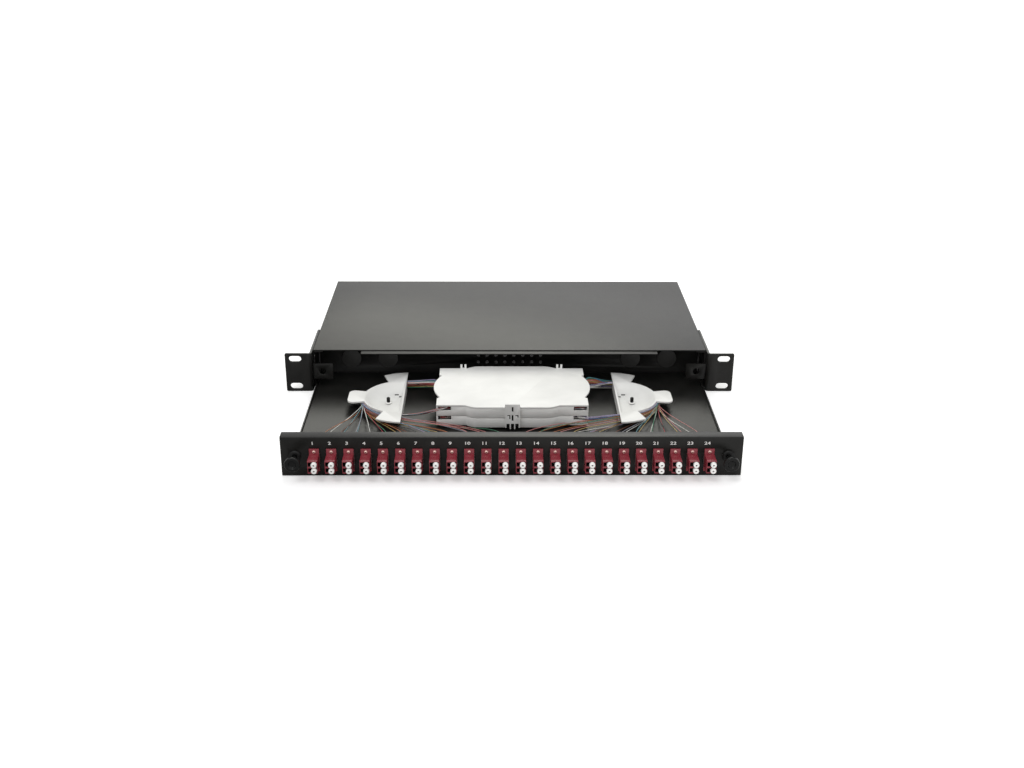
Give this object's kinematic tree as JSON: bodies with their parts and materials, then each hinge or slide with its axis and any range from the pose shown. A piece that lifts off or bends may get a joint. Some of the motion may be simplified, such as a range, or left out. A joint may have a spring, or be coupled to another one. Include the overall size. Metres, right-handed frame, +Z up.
{
  "type": "fibre patch panel",
  "caption": "One-unit rack patch panel with a pull-out splice drawer, duplex fibre ports in a row, two stacked splice trays and two latch knobs.",
  "frame": {"origin": "middle of the footprint with the drawer pulled out, on the plane of the underside", "axes": "+X to the right along the front, +Y from the front panel to the rear of the case, +Z up"},
  "size_m": [0.4872, 0.4572, 0.044],
  "materials": {
    "black_steel": "black powder coat, fine texture",
    "zinc_steel": "zinc plate",
    "black_nylon": "satin",
    "black_rubber": "matt",
    "white_plastic": "satin moulded",
    "crimson_plastic": "semi-gloss moulded, white dust caps",
    "fibre_coating": "colour-coded fibre coating"
  },
  "bodies": {
    "chassis": {"chassis_base": "black_steel", "top_cover": "black_steel", "ear_left": "black_steel", "ear_right": "black_steel", "ear_screw_left_1": "zinc_steel", "ear_screw_left_2": "zinc_steel", "ear_screw_right_1": "zinc_steel", "ear_screw_right_2": "zinc_steel"},
    "drawer": {"drawer_tray": "black_steel", "front_panel": "black_steel", "cable_plug_1": "black_rubber", "cable_plug_2": "black_rubber", "cable_plug_3": "black_rubber", "cable_plug_4": "black_rubber", "adapter_01": "crimson_plastic", "adapter_02": "crimson_plastic", "adapter_03": "crimson_plastic", "adapter_04": "crimson_plastic", "adapter_05": "crimson_plastic", "adapter_06": "crimson_plastic", "adapter_07": "crimson_plastic", "adapter_08": "crimson_plastic", "adapter_09": "crimson_plastic", "adapter_10": "crimson_plastic", "adapter_11": "crimson_plastic", "adapter_12": "crimson_plastic", "adapter_13": "crimson_plastic", "adapter_14": "crimson_plastic", "adapter_15": "crimson_plastic", "adapter_16": "crimson_plastic", "adapter_17": "crimson_plastic", "adapter_18": "crimson_plastic", "adapter_19": "crimson_plastic", "adapter_20": "crimson_plastic", "adapter_21": "crimson_plastic", "adapter_22": "crimson_plastic", "adapter_23": "crimson_plastic", "adapter_24": "crimson_plastic", "pigtails_left": "fibre_coating", "pigtails_right": "fibre_coating", "fibre_guide_left": "white_plastic", "fibre_guide_right": "white_plastic", "guide_stud_left": "zinc_steel", "guide_stud_right": "zinc_steel", "tray_mount": "white_plastic", "splice_tray_lower": "white_plastic", "splice_holder_lower": "white_plastic", "hinge_ladder": "white_plastic", "latch_grommet_left": "black_nylon", "latch_grommet_right": "black_nylon"},
    "upper_tray": {"splice_tray_upper": "white_plastic", "splice_holder_upper": "white_plastic", "tray_clip_left": "white_plastic", "tray_clip_right": "white_plastic"},
    "tray_lid": {"splice_tray_lid": "white_plastic"},
    "knob_left": {"latch_knob_left": "black_nylon"},
    "knob_right": {"latch_knob_right": "black_nylon"}
  },
  "joints": [
    {"name": "drawer_slide", "type": "slide", "parent": "chassis", "child": "drawer", "axis": [0, -1, 0], "range_m": [-0.185, 0.0395]},
    {"name": "knob_left_push", "type": "slide", "parent": "drawer", "child": "knob_left", "axis": [0, -1, 0], "range_m": [-0.006, 0]},
    {"name": "knob_right_push", "type": "slide", "parent": "drawer", "child": "knob_right", "axis": [0, -1, 0], "range_m": [-0.006, 0]},
    {"name": "tray_tilt", "type": "hinge", "parent": "drawer", "child": "upper_tray", "pos_m": [0.0015, -0.11685, 0.029], "axis": [1, 0, 0], "range_deg": [0, 65]},
    {"name": "lid_tilt", "type": "hinge", "parent": "upper_tray", "child": "tray_lid", "pos_m": [0.0015, -0.11685, 0.029], "axis": [1, 0, 0], "range_deg": [0, 60]}
  ]
}
